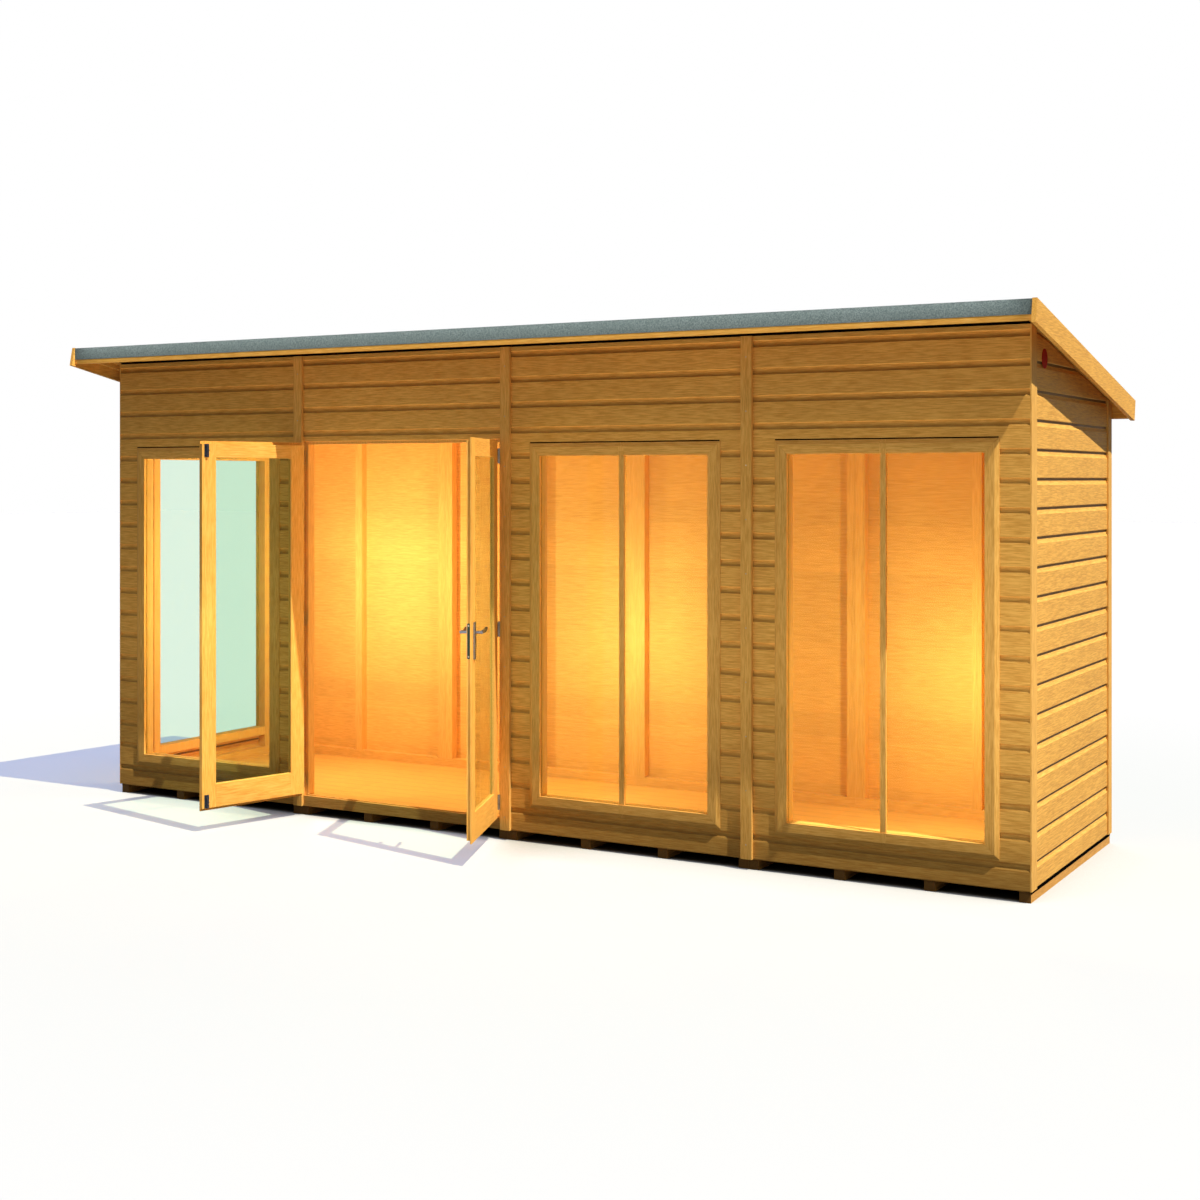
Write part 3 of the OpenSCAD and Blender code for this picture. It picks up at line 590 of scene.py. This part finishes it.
def ordered(a, b):
    """The lowest and highest corner of the box between two points."""
    return Vector(map(min, a, b)), Vector(map(max, a, b))


def add_window_cut(bm, wall, u):
    """Adds what a window at u takes out of the boards: its own room, and a slot for the
    near-black strip of painted shade over its head."""
    half = WINDOW_W / 2
    gap = 0.4 * MM
    shade_slot_d, shade_slot_h, shade_slot_end = 9 * MM, 6 * MM, 4 * MM
    add_box(bm, *ordered(wall.point(u - half - gap, -CUT_OUT, WINDOW_LO.z - gap),
                         wall.point(u + half + gap, CUT_IN, WINDOW_HI.z + gap)))
    add_box(bm, *ordered(wall.point(u - half - gap, -CUT_OUT, WINDOW_HI.z - gap),
                         wall.point(u + half - shade_slot_end, shade_slot_d, WINDOW_HI.z + shade_slot_h)))


def add_slope_cut(bm, wall, u0, u1, slope, top):
    """Adds what a sloping top takes off the boards between u0 and u1."""
    z0, z1 = slope
    rise = (z0 - z1) * CUT_OUT / (u1 - u0)
    corners = ((u0 - CUT_OUT, z0 + rise), (u1 + CUT_OUT, z1 - rise),
               (u1 + CUT_OUT, top), (u0 - CUT_OUT, top))
    outline = [wall.along * u + Vector((0, 0, z)) for u, z in corners]
    add_prism(bm, outline, wall.point(0, -CUT_OUT, 0), wall.point(0, CUT_IN, 0))
    bmesh.ops.recalc_face_normals(bm, faces=bm.faces)


def cladding(name, wall, u0, u1, z0, z1, material, node, windows=(), slope=None):
    """Boards across a wall from u0 to u1, with a hole for the window at each u and a top
    that may slope: slope is (z at u0, z at u1)."""
    bm = bmesh.new()
    lips = [FIRST_LIP + k * BOARD_COVER for k in range(-1, MOST_BOARDS)]
    edges = [z0] + [z for z in lips if z0 + LEAST_BOARD < z < z1 - LEAST_BOARD] + [z1]
    for low, high in zip(edges, edges[1:]):
        outline = [wall.point(0, v, z) for v, z in board_outline(low, high, high < z1)]
        add_prism(bm, outline, wall.along * u0, wall.along * u1)
    obj = new_object(name, bm, material)
    cut = bmesh.new()
    for u in windows:
        add_window_cut(cut, wall, u)
    if slope:
        add_slope_cut(cut, wall, u0, u1, slope, z1 + CUT_UP)
    if len(cut.faces):
        boolean(obj, cut)
    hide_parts(node)


def side_top(y):
    """Height of an end wall's cladding at depth y."""
    return CLAD_TOP - (y - FRONT_Y) * FALL


def front_boards():
    """The windowed panels, then the one with the doorway, where only a head is boarded."""
    for i in (1, 3, 4):
        low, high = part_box(f"front_cladding_{i}")
        window_lo, window_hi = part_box(f"window_frame_{i}")
        cladding(f"front_boards_{i}", FRONT, low.x, high.x, low.z, high.z, m_boards_x,
                 f"front_cladding_{i}", [(window_lo.x + window_hi.x) / 2])
    low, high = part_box("front_cladding_2")
    cladding("front_boards_2", FRONT, low.x, high.x, low.z, high.z, m_boards_x,
             "front_cladding_2")


def rear_boards():
    """The plain rear wall."""
    cladding("rear_boards", REAR, -rear_hi.x, -rear_lo.x, rear_lo.z, rear_hi.z,
             m_boards_rear, "rear_cladding")


def end_boards():
    """Both ends, plain on the right and with a window in the middle on the left."""
    low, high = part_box("right_cladding")
    cladding("right_boards", RIGHT, low.y, high.y, low.z, high.z, m_boards_y,
             "right_cladding", slope=(side_top(low.y), side_top(high.y)))
    cladding("left_boards", LEFT, -high.y, -low.y, low.z, high.z, m_boards_y,
             "left_cladding", [0], slope=(side_top(high.y), side_top(low.y)))


front_boards()
rear_boards()
end_boards()


# ---------------------------------------------------------------- small parts

# The near-black strip of painted shade under the eaves lies just under the roof's boards.
# The disc is on the right end, near its front and its top.
SHADE_STRIP_TOP = batten_hi.z + 2.8 * MM
DISC_PLACE = (WALL_X, -0.441, 2.095)


def add_disc(bm, centre, axis, radius, thickness, sides=20):
    """Adds a round head with a softened rim, its back at centre, standing out along axis."""
    turn = Vector(axis).normalized().to_track_quat("Z", "Y")
    rings = []
    for r, h in ((radius, 0), (radius, thickness * 0.6), (radius * 0.82, thickness)):
        ring = []
        for i in range(sides):
            a = 2 * math.pi * i / sides
            ring.append(bm.verts.new(
                Vector(centre) + turn @ Vector((r * math.cos(a), r * math.sin(a), h))))
        rings.append(ring)
    for low, high in zip(rings, rings[1:]):
        for i in range(sides):
            j = (i + 1) % sides
            bm.faces.new((low[i], low[j], high[j], high[i]))
    bm.faces.new(rings[0][::-1])
    bm.faces.new(rings[-1])


def heads(name, material, places, axis, radius, thickness, body="house"):
    """One piece of round nail or screw heads, all standing out along one axis."""
    bm = bmesh.new()
    for place in places:
        add_disc(bm, place, axis, radius, thickness)
    obj = new_object(name, bm, material, body)


def eaves_shade_strip():
    """A near-black strip bent along the front's head, painted shade in the gap under the
    eaves: up the gap over the top boards, then forwards under the roof boards."""
    bm = bmesh.new()
    leg, thick, clear, inset = 60 * MM, 1.5 * MM, 0.4 * MM, 4 * MM
    for i in (1, 2, 3, 4):
        low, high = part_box(f"front_cladding_{i}")
        foot = high.z - SHADE_STRIP_TOP
        section = ((0, foot), (0, -thick), (-leg, leg * FALL - thick),
                   (-leg, leg * FALL - clear), (thick, -clear - thick * FALL), (thick, foot))
        outline = [Vector((0, FRONT_Y + inset + y, SHADE_STRIP_TOP + z)) for y, z in section]
        add_prism(bm, outline, Vector((low.x, 0, 0)), Vector((high.x, 0, 0)))
    new_object("front_eaves_shade_strip", bm, m_shade_black)


def window_head_shade_strips():
    """Near-black strips over the heads of the windows, standing just proud: painted shade in the
    gap above each head.
    """
    bm = bmesh.new()
    section = ((-1.5, 0.8), (8.5, 0.8), (8.5, 5.0), (0.0, 5.0))
    for name in WINDOW_NODES:
        low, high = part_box(name)
        outline = [Vector((0, FRONT_Y + y * MM, high.z + z * MM)) for y, z in section]
        add_prism(bm, outline, Vector((low.x, 0, 0)), Vector((high.x - 5 * MM, 0, 0)))
    new_object("window_head_shade_strips", bm, m_shade_black)


def bearer_shade_strips():
    """Black strips over the outer bearers, dressed down over their edges: painted shade in the gap
    between the end boards and the bearers.
    """
    low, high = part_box("floor_bearers")
    lap, drop, clear = 20 * MM, 9 * MM, 0.2 * MM
    outer = clear + 0.7 * MM
    section = ((-lap, clear), (-lap, outer), (outer, outer), (outer, -drop),
               (clear, -drop), (clear, clear))
    for side, name in ((-1, "bearer_shade_strip_left"), (1, "bearer_shade_strip_right")):
        bm = bmesh.new()
        outline = [Vector((side * (high.x + x), 0, high.z + z)) for x, z in section]
        add_prism(bm, outline, Vector((0, low.y, 0)), Vector((0, high.y, 0)))
        new_object(name, bm, m_shade_black)


def strip_nails():
    """Nail heads down the three cover strips."""
    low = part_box("front_cover_strips")[0]
    first, pitch, top, proud = 60 * MM, 225 * MM, 2200 * MM, 0.1 * MM
    levels = [low.z + first + i * pitch for i in range(10)]
    places = [(k * PANEL_W, low.y - proud, z) for k in (-1, 0, 1) for z in levels if z < top]
    heads("cover_strip_nails", m_nail, places, (0, -1, 0), 2.2 * MM, 0.5 * MM)


def felt_lap():
    """The upper felt sheet's lower edge, lapped over the lower sheet and nailed."""
    low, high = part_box("roof_felt")
    edge, wide, step, lift = 20 * MM, 120 * MM, 1.6 * MM, 0.1 * MM
    nails, nail_inset = 66, 25 * MM

    def top(y):
        """Height of the felt's upper face at depth y."""
        return high.z - (y - low.y) * FALL

    section = ((edge - wide, lift), (edge, lift), (edge, step),
               (edge - 8 * MM, step + 0.2 * MM))
    outline = [Vector((0, y, top(y) + h)) for y, h in section]
    bm = bmesh.new()
    add_prism(bm, outline, Vector((low.x, 0, 0)), Vector((high.x, 0, 0)))
    obj = new_object("felt_lap", bm, m_felt)
    y = edge - nail_inset
    places = [(low.x + (high.x - low.x) * (i + 0.5) / nails, y, top(y) + step * 0.8)
              for i in range(nails)]
    heads("felt_nails", m_nail_dull, places, (0, FALL, 1), 5 * MM, 0.9 * MM)


def wall_disc():
    """A plain painted disc near the top of the right end."""
    bm = bmesh.new()
    radius, thick = 39 * MM, 3 * MM
    add_disc(bm, DISC_PLACE, (1, 0, 0), radius, thick, sides=48)
    new_object("wall_disc", bm, m_disc)


def lock_screws():
    """Two screws at the ends of the lock's face plate, out along the leaf."""
    low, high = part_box("door_right_lock")
    normal = Vector(joints["handle_turn"]["axis"])
    along = Vector((-normal.y, normal.x, 0)).normalized()
    out, inset = 1.6 * MM, 10 * MM
    face = (low + high) / 2 + along * out
    places = [Vector((face.x, face.y, z)) for z in (low.z + inset, high.z - inset)]
    heads("lock_screws", m_nail, places, along, 3.6 * MM, 0.6 * MM, "right_door")


eaves_shade_strip()
window_head_shade_strips()
bearer_shade_strips()
strip_nails()
felt_lap()
wall_disc()
lock_screws()


# ---------------------------------------------------------------- studio

# Colours of the lamps, and ways towards the sun and the fill
DAYLIGHT = (1.0, 0.97, 0.92)
FILL_LIGHT = (1.0, 0.98, 0.95)
GROUND_LIGHT = (1.0, 0.96, 0.85)
ROOM_LIGHT = (0.93, 0.85, 0.62)
TO_SUN = Vector((0.949, -0.21, 1.75))
TO_FILL = Vector((-0.3, -1.0, 0.12))

# Lamps inside: x, distance from the rear wall, height and watts
ROOM_LAMPS = ((-1.5, 0.74, 1.08, 37.0), (0.0, 0.6, 0.83, 19.5), (1.78, 0.6, 0.74, 19.5))

# The soft fill from all round, and the backdrop that is seen
SKY_FILL = (0.86, 0.96, 1.15, 1)
SKY_STRENGTH = 0.095
BACKDROP = (1, 1, 1, 1)

# The floor: half of its side, its plain tone for bounced light, its near-black painted shade
# under the object, its tone and its glow as seen, each where it is closed in and in the open,
# and the glow far off with its distances
FLOOR_HALF = 60
FLOOR_LIT = (0.05, 0.05, 0.05, 1)
FLOOR_UNDER = (0.01, 0.01, 0.01, 1)
FLOOR_TONES = ((0.375, 0.36, 0.29, 1), (0.305, 0.28, 0.135, 1))
FLOOR_GLOWS = ((0.36, 0.385, 0.46, 1), (0.445, 0.51, 0.74, 1))
FAR_GLOW = (0.49, 0.54, 0.79, 1)
FAR_FROM, FAR_TO = 3.0, 5.5


def watched(n):
    """Factor of 1 for what is seen: straight on, mirrored or through glass."""
    path = n.add("ShaderNodeLightPath").outputs
    return n.math("MAXIMUM", path["Is Camera Ray"],
                  n.math("MAXIMUM", path["Is Glossy Ray"], path["Is Transmission Ray"]))


def openness(n, distance):
    """How open the floor lies to the sky within a distance: 0 closed in, 1 open."""
    node = n.add("ShaderNodeAmbientOcclusion", samples=8)
    node.inputs["Distance"].default_value = distance
    return node.outputs["AO"]


def floor_material():
    """Reads as near white and keeps the object's shadow. Its glow is painted light: it fades
    into painted shade where the object closes it in, and it turns from warm near the object
    to the backdrop's white."""
    n = Nodes(bpy.data.materials.new("pale floor"))
    under = openness(n, 0.6)
    clear = n.ramp(openness(n, 2.0), 0.5, 0.85)
    pale = n.mix(clear, *FLOOR_TONES)
    # Painted shade on the floor where the object closes it in
    pale = n.mix(n.ramp(under, 0.0, 0.3), FLOOR_UNDER, pale)
    away = n.add("ShaderNodeVectorMath", n.position(), operation="LENGTH").outputs["Value"]
    sky = n.mix(clear, *FLOOR_GLOWS)
    sky = n.mix(n.ramp(away, FAR_FROM, FAR_TO), sky, FAR_GLOW)
    lit = n.add("ShaderNodeBsdfDiffuse", FLOOR_LIT)
    seen = n.add("ShaderNodeBsdfDiffuse", pale)
    glow = n.add("ShaderNodeEmission", sky, n.ramp(under, 0.25, 0.62))
    shown = n.add("ShaderNodeAddShader", seen.outputs[0], glow.outputs[0])
    n.out(n.add("ShaderNodeMixShader", watched(n), lit.outputs[0],
                shown.outputs[0]).outputs[0])
    return n.owner


def studio_floor():
    """A wide plain floor."""
    bm = bmesh.new()
    bmesh.ops.create_grid(bm, x_segments=1, y_segments=1, size=FLOOR_HALF)
    mesh = bpy.data.meshes.new("floor")
    bm.to_mesh(mesh)
    bm.free()
    mesh.materials.append(floor_material())
    floor = bpy.data.objects.new("floor", mesh)
    bpy.context.scene.collection.objects.link(floor)


def studio_world():
    """White where it is seen, and a soft pale fill on the object."""
    world = bpy.data.worlds.new("studio")
    bpy.context.scene.world = world
    n = Nodes(world)
    fill = n.add("ShaderNodeBackground", SKY_FILL, SKY_STRENGTH)
    white = n.add("ShaderNodeBackground", BACKDROP)
    shown = n.add("ShaderNodeMixShader", watched(n), fill.outputs[0], white.outputs[0])
    n.out(shown.outputs[0], "ShaderNodeOutputWorld")


def lamp(name, kind, energy, colour, place=(0, 0, 0), toward=(0, 0, -1), size=0.0):
    """A lamp that lights but isn't seen. size is a sun's angle, a point's radius or an
    area's width and height."""
    data = bpy.data.lights.new(name, kind)
    data.energy = energy
    data.color = colour
    if kind == "SUN":
        data.angle = size
    elif kind == "POINT":
        data.shadow_soft_size = size
    else:
        data.shape = "RECTANGLE"
        data.size, data.size_y = size
    obj = bpy.data.objects.new(name, data)
    obj.rotation_euler = Vector(toward).to_track_quat("-Z", "Y").to_euler()
    obj.location = place
    obj.visible_camera = obj.visible_glossy = obj.visible_transmission = False
    bpy.context.scene.collection.objects.link(obj)


def outdoor_lamps():
    """A high sun on the right, with what the sky and the pale ground give back."""
    lamp("key", "SUN", 5.8, DAYLIGHT, toward=-TO_SUN, size=math.radians(0.5))
    lamp("front_fill", "SUN", 0.06, FILL_LIGHT, toward=-TO_FILL, size=math.radians(50))
    lamp("ground_bounce", "AREA", 64.0, GROUND_LIGHT, place=(0.9, FRONT_Y - 2.2, 0.004),
         toward=(0, 0, 1), size=(6.0, 3.0))
    for name, x, width, watts in (("front_strip", 0.2, 6.0, 3.2),
                                  ("corner_strip", 2.9, 0.8, 2.2)):
        lamp(name, "AREA", watts, GROUND_LIGHT, place=(x, FRONT_Y - 0.7, 0.9),
             toward=(0, 1, 0), size=(width, 0.25))
    lamp("eave_strip", "AREA", 2.5, DAYLIGHT, place=(0, -0.945, 2.31),
         toward=(0, 0.7, -0.7), size=(4.8, 0.03))


def room_lamps():
    """The glow inside."""
    for x, gap, z, watts in ROOM_LAMPS:
        lamp(f"room_{x}", "POINT", watts, ROOM_LIGHT,
             place=(x, REAR_Y - CLAD_T - gap, z), size=0.06)


def studio_camera():
    """The photo's viewpoint, with its upright lines kept upright."""
    scene = bpy.context.scene
    data = bpy.data.cameras.new("camera")
    camera = bpy.data.objects.new("camera", data)
    scene.collection.objects.link(camera)
    data.sensor_width = 36
    data.lens = 51.68
    data.shift_y = -0.1008
    camera.location = (4.204, -7.168, 1.623)
    camera.rotation_euler = (math.radians(90), 0, math.radians(29.687))
    scene.camera = camera


studio_floor()
studio_world()
outdoor_lamps()
room_lamps()
studio_camera()
bpy.context.scene.view_settings.view_transform = "Standard"
